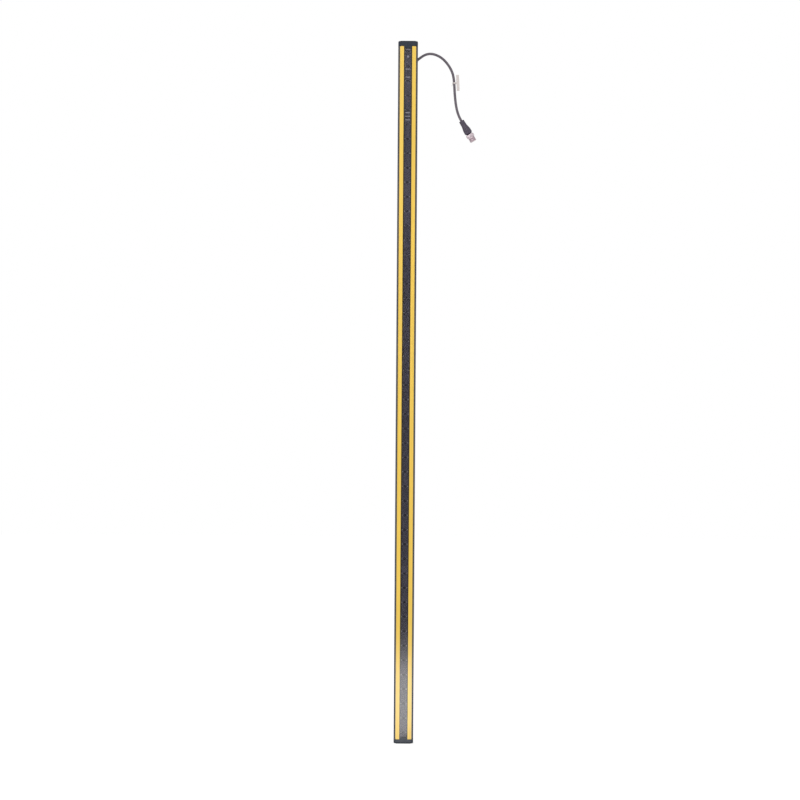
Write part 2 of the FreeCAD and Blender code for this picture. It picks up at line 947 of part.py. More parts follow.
def make_strain_relief():
    """Ribbed boot with a root in the outlet's bore."""
    profile = [(0, -relief_root_length), (cable_radius, -relief_root_length), (cable_radius, 0)]
    profile += [(relief_flange_radius, 0), (relief_flange_radius, relief_flange_thickness)]
    ring_pitch = (relief_length - relief_flange_thickness) / relief_ring_count
    taper = (relief_flange_radius - relief_tip_radius) / relief_length
    for ring in range(relief_ring_count):
        start = relief_flange_thickness + ring * ring_pitch
        middle = start + relief_groove_length
        end = start + ring_pitch
        outer = relief_flange_radius - taper * end
        inner = outer - relief_groove
        profile += [(inner, start), (inner, middle), (outer, middle), (outer, end)]
    profile.append((0, relief_length))
    return turned(profile, exit_point, exit_direction)


# ---- Cable --------------------------------------------------------------------------------------

# Corners of the cable's route; the last run lies on the plug's axis.
plug_base = Vector(93.2, cable_y - 3.6, 1077.7)
cable_route = [
    cable_start,
    cable_start + exit_direction * cable_first_run,
    Vector(42.1, cable_y + 0.8, 1195.2),
    Vector(60.3, cable_y + 1.2, 1186.9),
    Vector(73.8, cable_y + 0.8, 1170.1),
    Vector(79.9, cable_y - 0.1, 1153.9),
    Vector(81.5, cable_y - 1.8, 1122.7),
    Vector(84.0, cable_y - 3.0, 1101.5),
    plug_base - plug_axis * cable_last_run,
    plug_base,
]


def make_cable():
    """Round cable: straight runs joined by tangent arcs."""
    edges = []
    here = cable_route[0]
    for before, corner, after in zip(cable_route, cable_route[1:], cable_route[2:]):
        run_in = corner - before
        run_out = after - corner
        turn = run_in.getAngle(run_out)
        tangent = 0.45 * min(run_in.Length, run_out.Length)
        radius = tangent / math.tan(turn / 2)
        arc_start = corner - run_in.normalize() * tangent
        arc_end = corner + run_out.normalize() * tangent
        to_centre = (arc_start + arc_end) * 0.5 - corner
        corner_distance = radius / math.cos(turn / 2)
        arc_middle_point = corner + to_centre.normalize() * (corner_distance - radius)
        edges.append(Part.makeLine(here, arc_start))
        edges.append(Part.Arc(arc_start, arc_middle_point, arc_end).toShape())
        print("cable bend: turn %.1f degrees, radius %.1f mm" % (math.degrees(turn), radius))
        here = arc_end
    edges.append(Part.makeLine(here, cable_route[-1]))
    centre_line = Part.Wire(edges)
    start_direction = cable_route[1] - cable_route[0]
    section = Part.Wire(Part.makeCircle(cable_radius, cable_route[0], start_direction))
    tube = centre_line.makePipeShell([section], True, False)
    expected = math.pi * cable_radius**2 * centre_line.Length
    print("cable: length %.1f mm, volume %.1f of %.1f mm3" % (centre_line.Length, tube.Volume, expected))
    return tube


def on_tie(shape):
    """A piece drawn round the origin with the cable along +Z, set where the tie grips the cable."""
    upper, lower = cable_route[5:7]
    down = (lower - upper).normalize()
    shape.Placement = Placement(upper + down * tie_below_bend, Rotation(Vector(0, 0, -1), down))
    return shape


# ---- M12 plug -----------------------------------------------------------------------------------


def on_plug(shape):
    """A piece drawn along +Z from the origin, set on the plug's axis."""
    shape.Placement = Placement(plug_base, Rotation(Vector(0, 0, 1), plug_axis))
    return shape


def spin(profile):
    """Solid of revolution about Z from (radius, station) pairs."""
    return turned(profile, Vector(0, 0, 0), Vector(0, 0, 1))


def bell_profile():
    """Half section of the plug body: rounded rear, smooth bell and rounded nose."""
    bell_start = grip_length - grip_bell_length
    nose_start = grip_length - grip_nose
    rear_centre = grip_rear_radius - grip_rear_round
    nose_centre = grip_front_radius - grip_nose
    poles = [
        (grip_waist_radius, grip_waist_place),
        (grip_waist_radius, grip_waist_place + grip_bell_ease),
        (grip_front_radius, bell_start - grip_bell_ease),
        (grip_front_radius, bell_start),
    ]
    bell = Part.BezierCurve()
    bell.setPoles([Vector(*pole, 0) for pole in poles])
    rear = path(
        (0, 0),
        (rear_centre, 0),
        (arc_middle(rear_centre, grip_rear_round, grip_rear_round, -45), (grip_rear_radius, grip_rear_round)),
        poles[0],
    )
    nose = path(
        poles[-1],
        (grip_front_radius, nose_start),
        (arc_middle(nose_centre, nose_start, grip_nose, 45), (nose_centre, grip_length)),
        (0, grip_length),
        (0, 0),
    )
    return Part.Face(Part.Wire(rear + [bell.toShape()] + nose))


def make_grip():
    """Moulded plug body with finger flutes round its bell."""
    body = bell_profile().revolve(Vector(0, 0, 0), Vector(0, 1, 0), 360)
    body.rotate(Vector(0, 0, 0), Vector(1, 0, 0), 90)
    flute_circle = grip_front_radius + grip_flute_radius - grip_flute_depth
    flute_end = grip_length - grip_front_land
    flutes = []
    for flute in range(grip_flute_count):
        x, y = arc_middle(0, 0, flute_circle, 360 * flute / grip_flute_count)
        flutes.append(extrude(disc(x, y, grip_flute_radius), flute_end - grip_flute_length, flute_end))
    return on_plug(body.cut(flutes))


def make_insert():
    """Contact carrier: neck on the body, collar that keeps the nut on, and a pin face in front."""
    neck_radius = nut_neck_radius - insert_gap
    collar_radius_inside = nut_bore_radius - insert_gap
    collar_rear = grip_length + nut_gap + nut_rear_wall + insert_gap
    collar_front = collar_rear + insert_collar_thickness
    front_radius = collar_radius_inside - 2 * o_ring_radius
    face = collar_front + insert_front_length
    body = spin(
        [
            (0, grip_length),
            (neck_radius, grip_length),
            (neck_radius, collar_rear),
            (collar_radius_inside, collar_rear),
            (collar_radius_inside, collar_front),
            (front_radius, collar_front),
            (front_radius, face),
            (0, face),
        ]
    )
    key_side = key_width / 2
    key = block(-key_side, key_side, front_radius - key_depth, front_radius + 1, collar_front, face)
    root = face - pin_root
    sockets = [Part.makeCylinder(pin_radius, pin_root, Vector(x, y, root)) for x, y in pin_places()]
    return on_plug(body.cut([key] + sockets))


def pin_places():
    """Centre pin and the ring of pins around it."""
    ring = pin_count - 1
    return [(0, 0)] + [arc_middle(0, 0, pin_circle_radius, 90 + 360 * pin / ring) for pin in range(ring)]


def insert_face():
    """Station of the contact insert's front face along the plug."""
    return grip_length + nut_gap + nut_rear_wall + insert_gap + insert_collar_thickness + insert_front_length


def make_pins():
    """Gold-plated pins standing in the insert."""
    start = insert_face() - pin_root
    pins = [Part.makeCylinder(pin_radius, pin_length, Vector(x, y, start)) for x, y in pin_places()]
    return on_plug(Part.makeCompound(pins))


def make_o_ring():
    """Sealing ring on the insert, against its collar."""
    collar_front = insert_face() - insert_front_length
    centre_radius = nut_bore_radius - insert_gap - o_ring_radius
    return on_plug(Part.makeTorus(centre_radius, o_ring_radius, Vector(0, 0, collar_front + o_ring_radius)))


def make_coupling_nut():
    """Fluted collar and thread sleeve, turning freely on the insert's neck."""
    start = grip_length + nut_gap
    sleeve = start + collar_length
    end = sleeve + thread_length
    nut = spin(
        [
            (nut_neck_radius, start),
            (collar_radius - thread_chamfer, start),
            (collar_radius, start + thread_chamfer),
            (collar_radius, sleeve - thread_chamfer),
            (collar_radius - thread_chamfer, sleeve),
            (thread_radius, sleeve),
            (thread_radius, end - thread_chamfer),
            (thread_radius - thread_chamfer, end),
            (nut_bore_radius, end),
            (nut_bore_radius, start + nut_rear_wall),
            (nut_neck_radius, start + nut_rear_wall),
        ]
    )
    flute_circle = collar_radius + collar_flute_radius - collar_flute_depth
    flutes = []
    for flute in range(collar_flute_count):
        x, y = arc_middle(0, 0, flute_circle, 360 * flute / collar_flute_count)
        flutes.append(extrude(disc(x, y, collar_flute_radius), start, sleeve))
    return on_plug(nut.cut(flutes))


# ---- Cable marker -------------------------------------------------------------------------------


def make_tie():
    """Band around the cable with its head on the right and a short tail on the left."""
    outer_radius = cable_radius + tie_thickness
    band = Part.makeCylinder(outer_radius, tie_height, Vector(0, 0, -tie_height / 2))
    half_head = tie_head / 2
    head_end = cable_radius + tie_head
    head = block(cable_radius, head_end, -half_head, half_head, -tie_height / 2, tie_height / 2)
    tail = block(0, tie_thickness, -tie_height / 2, tie_height / 2, -tie_tail_length, 0)
    tail.Placement = Placement(Vector(-outer_radius, 0, 0), Rotation(Vector(0, 1, 0), tie_tail_angle))
    bore = Part.makeCylinder(cable_radius, 4 * tie_head, Vector(0, 0, -2 * tie_head))
    return on_tie(band.fuse([head, tail]).cut(bore))


def make_marker():
    """Flat writing flag on the front of the tie's head."""
    left = cable_radius + marker_offset
    back = -tie_head / 2
    half_height = marker_height / 2
    flag = block(left, left + marker_width, back - marker_thickness, back, -half_height, half_height)
    return on_tie(flag)


# ---- All pieces ---------------------------------------------------------------------------------


def main():
    os.makedirs("parts", exist_ok=True)
    save("housing_profile", make_housing())
    save("yellow_strip_left", make_strip(-1))
    save("yellow_strip_right", make_strip(1))
    save("front_window", make_window())
    save("window_gasket", make_window_gasket())
    for name, thickness, inset, top in (
        ("bottom", cap_thickness_bottom, window_inset_bottom, False),
        ("top", cap_thickness_top, window_inset_top, True),
    ):
        save("end_cap_" + name, make_end_cap(thickness, inset, top))
        save("end_gasket_" + name, make_end_gasket(thickness, top))
        save("cap_screws_" + name, make_cap_screws(top))
    for module in range(module_count):
        number = str(module + 1)
        save("lens_strip_" + number, make_lens_strip(module))
        save("optics_carrier_" + number, make_carrier(module))
        save("beam_board_" + number, make_beam_board(module))
        save("beam_diodes_" + number, make_diodes(module))
    save("board_links", make_board_links())
    save("status_light_guides", make_status_guides())
    save("power_light_guide", make_power_guide())
    save("status_diodes", make_status_diodes())
    save("control_board", make_control_board())
    save("board_header", make_board_header())
    save("control_parts", make_control_parts())
    save("lead_header", make_lead_header())
    save("inner_leads", make_inner_leads())
    save("cable_outlet", make_outlet())
    save("outlet_gasket", make_outlet_gasket())
    save("outlet_screws", make_outlet_screws())
    save("strain_relief", make_strain_relief())
    save("cable", make_cable())
    save("connector_body", make_grip())
    save("connector_insert", make_insert())
    save("contact_pins", make_pins())
    save("connector_o_ring", make_o_ring())
    save("coupling_nut", make_coupling_nut())
    save("cable_tie", make_tie())
    save("cable_marker", make_marker())


main()
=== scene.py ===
import json
import math

import bmesh
import bpy
from mathutils import Matrix, Vector


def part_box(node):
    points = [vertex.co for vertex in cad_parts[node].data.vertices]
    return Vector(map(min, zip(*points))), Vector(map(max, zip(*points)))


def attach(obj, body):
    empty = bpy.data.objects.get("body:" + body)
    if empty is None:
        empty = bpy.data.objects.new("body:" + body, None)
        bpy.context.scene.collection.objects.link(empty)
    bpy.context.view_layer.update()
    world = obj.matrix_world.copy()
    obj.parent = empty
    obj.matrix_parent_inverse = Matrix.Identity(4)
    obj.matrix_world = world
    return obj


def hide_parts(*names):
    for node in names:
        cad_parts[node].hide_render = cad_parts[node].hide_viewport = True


# The looks of one bar of a safety light curtain, in metres: +Z up, -Y out of the window.

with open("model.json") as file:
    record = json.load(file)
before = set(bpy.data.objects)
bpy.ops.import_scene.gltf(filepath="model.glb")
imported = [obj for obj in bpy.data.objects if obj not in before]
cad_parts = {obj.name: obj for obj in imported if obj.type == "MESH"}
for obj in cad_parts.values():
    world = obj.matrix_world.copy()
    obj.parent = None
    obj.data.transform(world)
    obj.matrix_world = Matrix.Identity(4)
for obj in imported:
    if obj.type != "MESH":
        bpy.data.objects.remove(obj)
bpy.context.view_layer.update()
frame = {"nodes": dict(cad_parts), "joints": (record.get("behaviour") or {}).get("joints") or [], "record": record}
SCENE = bpy.context.scene
NODES = frame["nodes"]
RECORD = frame["record"]

# ---- Camera ------------------------------------------------------------------------------------

VIEW_HEIGHT = 1.380
VIEW_CENTRE = Vector((-0.0098, 0.0, 0.5930))
CAMERA_DISTANCE = 6.0
CAMERA_ROLL = math.radians(-0.40)
SENSOR = 36.0


def add_camera():
    """Looks straight at the window from far away, with the bar leaning a little to the right."""
    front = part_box("yellow_strip_left")[0].y
    data = bpy.data.cameras.new("camera")
    data.sensor_width = SENSOR
    data.lens = SENSOR * CAMERA_DISTANCE / VIEW_HEIGHT
    camera = bpy.data.objects.new("camera", data)
    camera.location = (VIEW_CENTRE.x, front - CAMERA_DISTANCE, VIEW_CENTRE.z)
    camera.rotation_euler = (math.radians(90), CAMERA_ROLL, 0)
    SCENE.collection.objects.link(camera)
    SCENE.camera = camera


# ---- Cable -------------------------------------------------------------------------------------

CABLE_DIAMETER = 0.0044
CABLE_STEPS = 24
CABLE_ROUNDNESS = 8
CABLE_ROUTE = [
    (0.014545, 0.0206, 1.181102),
    (0.025954, 0.0206, 1.191741),
    (0.0421, 0.0214, 1.1952),
    (0.0603, 0.0218, 1.1869),
    (0.0738, 0.0214, 1.1701),
    (0.0799, 0.0205, 1.1539),
    (0.0815, 0.0188, 1.1227),
    (0.0840, 0.0176, 1.1015),
    (0.088538, 0.0170, 1.085398),
    (0.0932, 0.0170, 1.0777),
]


def add_cable():
    """Round cable along its route, from the strain relief down to the plug."""
    curve = bpy.data.curves.new("cable_jacket", "CURVE")
    curve.dimensions = "3D"
    spline = curve.splines.new("NURBS")
    spline.points.add(len(CABLE_ROUTE) - 1)
    for point, place in zip(spline.points, CABLE_ROUTE):
        point.co = (*place, 1.0)
    spline.order_u = 3
    spline.use_endpoint_u = True
    spline.resolution_u = CABLE_STEPS
    curve.bevel_depth = CABLE_DIAMETER / 2
    curve.bevel_resolution = CABLE_ROUNDNESS
    curve.use_fill_caps = True
    cable = bpy.data.objects.new("cable_jacket", curve)
    SCENE.collection.objects.link(cable)
    return cable


# ---- Materials ---------------------------------------------------------------------------------

NOISE_RANGE = (0.3, 0.7)
EVEN = (1.0, 1.0, 1.0)
ALONG_BAR = (1.0, 1.0, 0.012)
MICRON = 1e-6


class Finish:
    """A material under construction: its shader, and textures placed in the part's own space."""

    def __init__(self, name, colour, roughness, metallic=0.0, ior=1.5, alpha=1.0):
        self.material = bpy.data.materials.new(name)
        self.material.use_nodes = True
        self.tree = self.material.node_tree
        self.shader = self.tree.nodes["Principled BSDF"]
        self.colour = colour
        self.roughness = roughness
        self.shader.inputs["Base Color"].default_value = (*colour, 1.0)
        self.shader.inputs["Roughness"].default_value = roughness
        self.shader.inputs["Metallic"].default_value = metallic
        self.shader.inputs["IOR"].default_value = ior
        self.shader.inputs["Alpha"].default_value = alpha
        self.place = self.tree.nodes.new("ShaderNodeTexCoord").outputs["Object"]
        self.normal = None

    def link(self, output, socket):
        self.tree.links.new(output, socket)

    def stretched(self, stretch):
        """Texture space with each axis multiplied, so that marks run along the small one."""
        mapping = self.tree.nodes.new("ShaderNodeMapping")
        mapping.inputs["Scale"].default_value = stretch
        self.link(self.place, mapping.inputs["Vector"])
        return mapping.outputs["Vector"]

    def noise(self, scale, detail, stretch):
        """Cloudy noise; scale is in features per metre."""
        texture = self.tree.nodes.new("ShaderNodeTexNoise")
        texture.inputs["Scale"].default_value = scale
        texture.inputs["Detail"].default_value = detail
        self.link(self.stretched(stretch), texture.inputs["Vector"])
        return texture.outputs["Fac"]

    def ranged(self, value, low, high):
        """A noise's value carried to a new range."""
        node = self.tree.nodes.new("ShaderNodeMapRange")
        node.inputs["From Min"].default_value, node.inputs["From Max"].default_value = NOISE_RANGE
        node.inputs["To Min"].default_value, node.inputs["To Max"].default_value = low, high
        self.link(value, node.inputs["Value"])
        return node.outputs["Result"]

    def mottle(self, amount, scale, stretch=EVEN):
        """Colour that drifts by a share either side of its own value."""
        mix = self.tree.nodes.new("ShaderNodeMix")
        mix.data_type = "RGBA"
        darker = [channel * (1 - amount) for channel in self.colour]
        lighter = [min(1.0, channel * (1 + amount)) for channel in self.colour]
        mix.inputs["A"].default_value = (*darker, 1.0)
        mix.inputs["B"].default_value = (*lighter, 1.0)
        self.link(self.ranged(self.noise(scale, 3.0, stretch), 0.0, 1.0), mix.inputs["Factor"])
        self.link(mix.outputs["Result"], self.shader.inputs["Base Color"])
        return self

    def patchy_gloss(self, amount, scale, stretch=EVEN):
        """Roughness that changes over the surface, as handling leaves it."""
        noise = self.noise(scale, 4.0, stretch)
        value = self.ranged(noise, self.roughness - amount, self.roughness + amount)
        self.link(value, self.shader.inputs["Roughness"])
        return self

    def grain(self, scale, depth, stretch=EVEN):
        """Fine moulded or drawn relief on top of any earlier one; depth is in metres."""
        bump = self.tree.nodes.new("ShaderNodeBump")
        bump.inputs["Strength"].default_value = 1.0
        bump.inputs["Distance"].default_value = depth
        self.link(self.noise(scale, 2.0, stretch), bump.inputs["Height"])
        if self.normal:
            self.link(self.normal, bump.inputs["Normal"])
        self.normal = bump.outputs["Normal"]
        self.link(self.normal, self.shader.inputs["Normal"])
        return self


def housing_finish():
    """Black anodised extrusion: satin, with faint die lines along the bar."""
    finish = Finish("anodised_aluminium", (0.040, 0.040, 0.047), 0.36, metallic=0.35)
    finish.mottle(0.16, 900, ALONG_BAR)
    finish.patchy_gloss(0.07, 500, ALONG_BAR)
    finish.grain(2600, 14 * MICRON, ALONG_BAR)
    return finish.grain(9000, 5 * MICRON)


def yellow_finish():
    """Yellow film on the sloping lands, with slight lengthwise unevenness."""
    finish = Finish("yellow_film", (0.845, 0.560, 0.078), 0.42)
    finish.mottle(0.055, 420, ALONG_BAR)
    finish.patchy_gloss(0.06, 60)
    return finish.grain(3500, 8 * MICRON)


def window_finish():
    """Dark tinted pane with a soft gloss, through which the optics show faintly."""
    finish = Finish("tinted_window", (0.013, 0.010, 0.018), 0.34, ior=1.50, alpha=0.30)
    finish.mottle(0.25, 25, (1.0, 1.0, 0.15))
    return finish.patchy_gloss(0.02, 40)


def seal_finish():
    finish = Finish("black_rubber", (0.018, 0.018, 0.019), 0.72)
    finish.mottle(0.25, 700)
    return finish.grain(5000, 20 * MICRON)


def cap_finish():
    """Moulded end cap: blue-black, spark-eroded grain."""
    finish = Finish("moulded_cap", (0.016, 0.022, 0.034), 0.52, ior=1.33)
    finish.mottle(0.14, 260)
    finish.patchy_gloss(0.07, 180)
    return finish.grain(4200, 22 * MICRON)


def screw_finish():
    finish = Finish("zinc_steel", (0.60, 0.60, 0.62), 0.30, metallic=1.0)
    finish.mottle(0.10, 1800)
    finish.patchy_gloss(0.10, 2500)
    return finish.grain(6000, 6 * MICRON)


def lens_finish():
    """Clear lens strip: mostly see-through, with a soft gloss."""
    finish = Finish("clear_lens", (0.30, 0.29, 0.42), 0.25, ior=1.40, alpha=0.12)
    finish.mottle(0.10, 300)
    return finish.patchy_gloss(0.03, 300)


def glint_tab_finish():
    """Near-white colour of the small tabs beside the lenses: a painted highlight that stands in for the glints on
    the lens edges.
    """
    finish = Finish("painted_glint_tab", (0.93, 0.90, 0.97), 0.28)
    finish.mottle(0.04, 1800)
    return finish.patchy_gloss(0.05, 1800)


def carrier_finish():
    """Dark moulding behind the lenses."""
    finish = Finish("optics_moulding", (0.235, 0.212, 0.295), 0.60)
    finish.mottle(0.12, 300)
    return finish.grain(3000, 20 * MICRON)


def board_finish():
    """Green circuit board with a hint of its glass weave."""
    finish = Finish("circuit_board", (0.020, 0.110, 0.050), 0.35)
    finish.mottle(0.18, 1200)
    finish.patchy_gloss(0.08, 900)
    return finish.grain(2500, 10 * MICRON)


def diode_finish():
    finish = Finish("dark_epoxy", (0.020, 0.016, 0.032), 0.12)
    finish.mottle(0.15, 900)
    return finish.patchy_gloss(0.04, 1200)


def part_finish():
    finish = Finish("black_component", (0.030, 0.030, 0.031), 0.50)
    finish.mottle(0.20, 900)
    return finish.grain(5000, 12 * MICRON)


def guide_finish():
    """Milky light guides of the status lights."""
    finish = Finish("milky_guide", (0.78, 0.75, 0.86), 0.30)
    finish.mottle(0.05, 900)
    return finish.patchy_gloss(0.05, 900)


def power_guide_finish():
    finish = Finish("red_guide", (0.50, 0.14, 0.15), 0.28)
    finish.mottle(0.08, 1500)
    return finish.patchy_gloss(0.05, 1500)


def status_diode_finish():
    finish = Finish("pale_epoxy", (0.72, 0.64, 0.36), 0.30)
    finish.mottle(0.10, 2500)
    return finish.patchy_gloss(0.06, 2500)


def lead_finish():
    finish = Finish("conductor_insulation", (0.42, 0.42, 0.44), 0.45)
    finish.mottle(0.10, 900)
    return finish.grain(4000, 8 * MICRON)


def outlet_finish():
    """Moulded cable outlet on the back."""
    finish = Finish("moulded_outlet", (0.028, 0.029, 0.033), 0.48)
    finish.mottle(0.14, 260)
    finish.patchy_gloss(0.07, 200)
    return finish.grain(4200, 24 * MICRON)


def boot_finish():
    finish = Finish("strain_relief_rubber", (0.026, 0.026, 0.029), 0.58)
    finish.mottle(0.18, 500)
    return finish.grain(4500, 18 * MICRON)


def cable_finish():
    """Dark grey jacket: satin, faintly drawn along its length."""
    finish = Finish("cable_jacket", (0.105, 0.086, 0.108), 0.46)
    finish.mottle(0.15, 380)
    finish.patchy_gloss(0.08, 260)
    return finish.grain(3800, 16 * MICRON)


def plug_finish():
    """Overmoulded plug body: dark grey, finely grained."""
    finish = Finish("plug_overmould", (0.046, 0.034, 0.058), 0.50)
    finish.mottle(0.14, 420)
    finish.patchy_gloss(0.08, 380)
    return finish.grain(4200, 26 * MICRON)


def insert_finish():
    finish = Finish("contact_insert", (0.026, 0.026, 0.028), 0.50)
    finish.mottle(0.18, 900)
    return finish.grain(6000, 10 * MICRON)


def pin_finish():
    finish = Finish("gold_plate", (0.90, 0.66, 0.30), 0.22, metallic=1.0)
    finish.mottle(0.08, 3000)
    return finish.patchy_gloss(0.06, 3000)


def nut_finish():
    """Nickel plating over brass: a soft grey shine with a warm cast and handling marks."""
    finish = Finish("nickel_plate", (0.50, 0.425, 0.455), 0.20, metallic=1.0)
    finish.mottle(0.10, 900)
    finish.patchy_gloss(0.09, 1500)
    return finish.grain(7000, 5 * MICRON)


def marker_finish():
    """Natural nylon of the cable tie and its marker."""
    finish = Finish("natural_nylon", (0.62, 0.565, 0.545), 0.45)
    finish.mottle(0.05, 300)
    finish.patchy_gloss(0.06, 400)
    return finish.grain(3000, 12 * MICRON)


FINISHES = {
    "housing": housing_finish,
    "yellow": yellow_finish,
    "window": window_finish,
    "seal": seal_finish,
    "cap": cap_finish,
    "screw": screw_finish,
    "lens": lens_finish,
    "carrier": carrier_finish,
    "board": board_finish,
    "diode": diode_finish,
    "part_black": part_finish,
    "light_guide": guide_finish,
    "power_guide": power_guide_finish,
    "status_diode": status_diode_finish,
    "lead": lead_finish,
    "outlet": outlet_finish,
    "boot": boot_finish,
    "cable": cable_finish,
    "plug": plug_finish,
    "insert": insert_finish,
    "pin": pin_finish,
    "nut": nut_finish,
    "marker": marker_finish,
}


def make_materials():
    """One material for each of the record's slots."""
    return {slot: build().material for slot, build in FINISHES.items()}


def dress_nodes(materials):
    """Gives every CAD piece the material of its slot."""
    for part in RECORD["subparts"]:
        mesh = NODES[part["node"]].data
        mesh.materials.clear()
        mesh.materials.append(materials[part["material_slot"]])


# ---- Meshes ------------------------------------------------------------------------------------


def new_object(name, mesh):
    """Object made from a finished bmesh."""
    data = bpy.data.meshes.new(name)
    mesh.to_mesh(data)
    mesh.free()
    made = bpy.data.objects.new(name, data)
    SCENE.collection.objects.link(made)
    return made


def shade(piece, degrees):
    """Smooth shading that keeps the edges sharper than an angle."""
    piece.data.shade_smooth()
    piece.data.set_sharp_from_angle(angle=math.radians(degrees))


# ---- Plug --------------------------------------------------------------------------------------

PLUG_BASE = Vector(CABLE_ROUTE[-1])
PLUG_AXIS = Vector(frame["joints"][0]["axis"]).normalized()
PLUG_TURN = Vector((0, 0, 1)).rotation_difference(PLUG_AXIS)


def along_plug(node):
    """First and last station of a CAD piece on the plug's axis, and its largest radius."""
    stations = []
    radii = []
    for vertex in NODES[node].data.vertices:
        arm = vertex.co - PLUG_BASE
        station = arm.dot(PLUG_AXIS)
        stations.append(station)
        radii.append((arm - PLUG_AXIS * station).length)
    return min(stations), max(stations), max(radii)


def lathe(name, rows, columns, closed):
    """Mesh round the plug's axis from rows of (station, radius at an angle)."""
    mesh = bmesh.new()
    rings = []
    for station, radius_at in rows:
        ring = []
        for column in range(columns):
            angle = 2 * math.pi * column / columns
            radius = radius_at(angle)
            local = Vector((radius * math.cos(angle), radius * math.sin(angle), station))
            ring.append(mesh.verts.new(PLUG_BASE + PLUG_TURN @ local))
        rings.append(ring)
    pairs = list(zip(rings, rings[1:]))
    if closed:
        pairs.append((rings[-1], rings[0]))
    for lower, upper in pairs:
        for column in range(columns):
            after = (column + 1) % columns
            mesh.faces.new((lower[column], lower[after], upper[after], upper[column]))
    if not closed:
        mesh.faces.new(reversed(rings[0]))
        mesh.faces.new(rings[-1])
    bmesh.ops.recalc_face_normals(mesh, faces=mesh.faces)
    return new_object(name, mesh)


def steady(radius):
    """The same radius at every angle."""
    return lambda angle: radius


def eased(position):
    """Smooth step from 0 to 1."""
    position = min(1.0, max(0.0, position))
    return position * position * (3 - 2 * position)


GRIP_FLUTES = 10
GRIP_FLUTE_DEPTH = 0.00055
GRIP_REAR_RADIUS = 0.0046
GRIP_WAIST_RADIUS = 0.0049
GRIP_REAR_ROUND = 0.0007
GRIP_NOSE_ROUND = 0.0040
GRIP_ROWS = 72
GRIP_COLUMNS = 160
GRIP_SHARP_ANGLE = 50

# Shares of the grip's length: where its waist ends, where it swells, and where its flutes lie.
WAIST_END = 0.40
SWELL_START, SWELL_LENGTH = 0.30, 0.44
FLUTES_START, FLUTES_END, FLUTES_FADE = 0.42, 0.80, 0.12


def make_plug_grip():
    """Overmoulded body: rounded rear, smooth bell, finger flutes and a rounded nose."""
    start, end, bell = along_plug("connector_body")
    length = end - start

    def outline(station):
        swell = eased((station - SWELL_START * length) / (SWELL_LENGTH * length))
        widening = (GRIP_WAIST_RADIUS - GRIP_REAR_RADIUS) * station / (WAIST_END * length)
        radius = min(GRIP_REAR_RADIUS + widening, GRIP_WAIST_RADIUS)
        return radius + (bell - GRIP_WAIST_RADIUS) * swell

    def end_drop(distance, rounding):
        if distance >= rounding:
            return 0.0
        return rounding - math.sqrt(max(0.0, rounding**2 - (rounding - distance) ** 2))

    def flute_share(station):
        fade_in = eased((station - FLUTES_START * length) / (FLUTES_FADE * length))
        return fade_in * (1 - eased((station - FLUTES_END * length) / (FLUTES_FADE * length)))

    def ring(station):
        radius = outline(station)
        radius -= end_drop(station, GRIP_REAR_ROUND) + end_drop(length - station, GRIP_NOSE_ROUND)
        depth = GRIP_FLUTE_DEPTH * flute_share(station)

        def radius_at(angle):
            wave = 0.5 + 0.5 * math.cos(GRIP_FLUTES * angle)
            return radius - depth * wave**3

        return start + station, radius_at

    turns = [math.pi * row / GRIP_ROWS for row in range(GRIP_ROWS + 1)]
    rings = [ring(length * 0.5 * (1 - math.cos(turn))) for turn in turns]
    grip = lathe("plug_grip", rings, GRIP_COLUMNS, closed=False)
    shade(grip, GRIP_SHARP_ANGLE)
    return grip


COLLAR_FLUTES = 24
COLLAR_FLUTE_DEPTH = 0.00032
COLLAR_LENGTH = 0.0056
COLLAR_EDGE = 0.0005
# One rounded corner of the collar: way in from its end, drop below its radius (both in edges),
# and share of the flutes' depth.
COLLAR_CORNER = ((0.0, 2.0, 0.0), (0.3, 1.2, 0.0), (1.0, 0.3, 0.5), (1.6, 0.0, 1.0))
NUT_NECK_RADIUS = 0.00465
NUT_BORE_RADIUS = 0.0052
NUT_REAR_WALL = 0.0038
THREAD_RADIUS = 0.0060
THREAD_PITCH = 0.0010
THREAD_DEPTH = 0.00055
THREAD_RELIEF = 0.0004
THREAD_STOP = 0.0002
THREAD_LEAD = 0.0005
THREAD_ROWS_PER_TURN = 10
BORE_CHAMFER = 0.0001
NUT_COLUMNS = 192
NUT_SHARP_ANGLE = 35


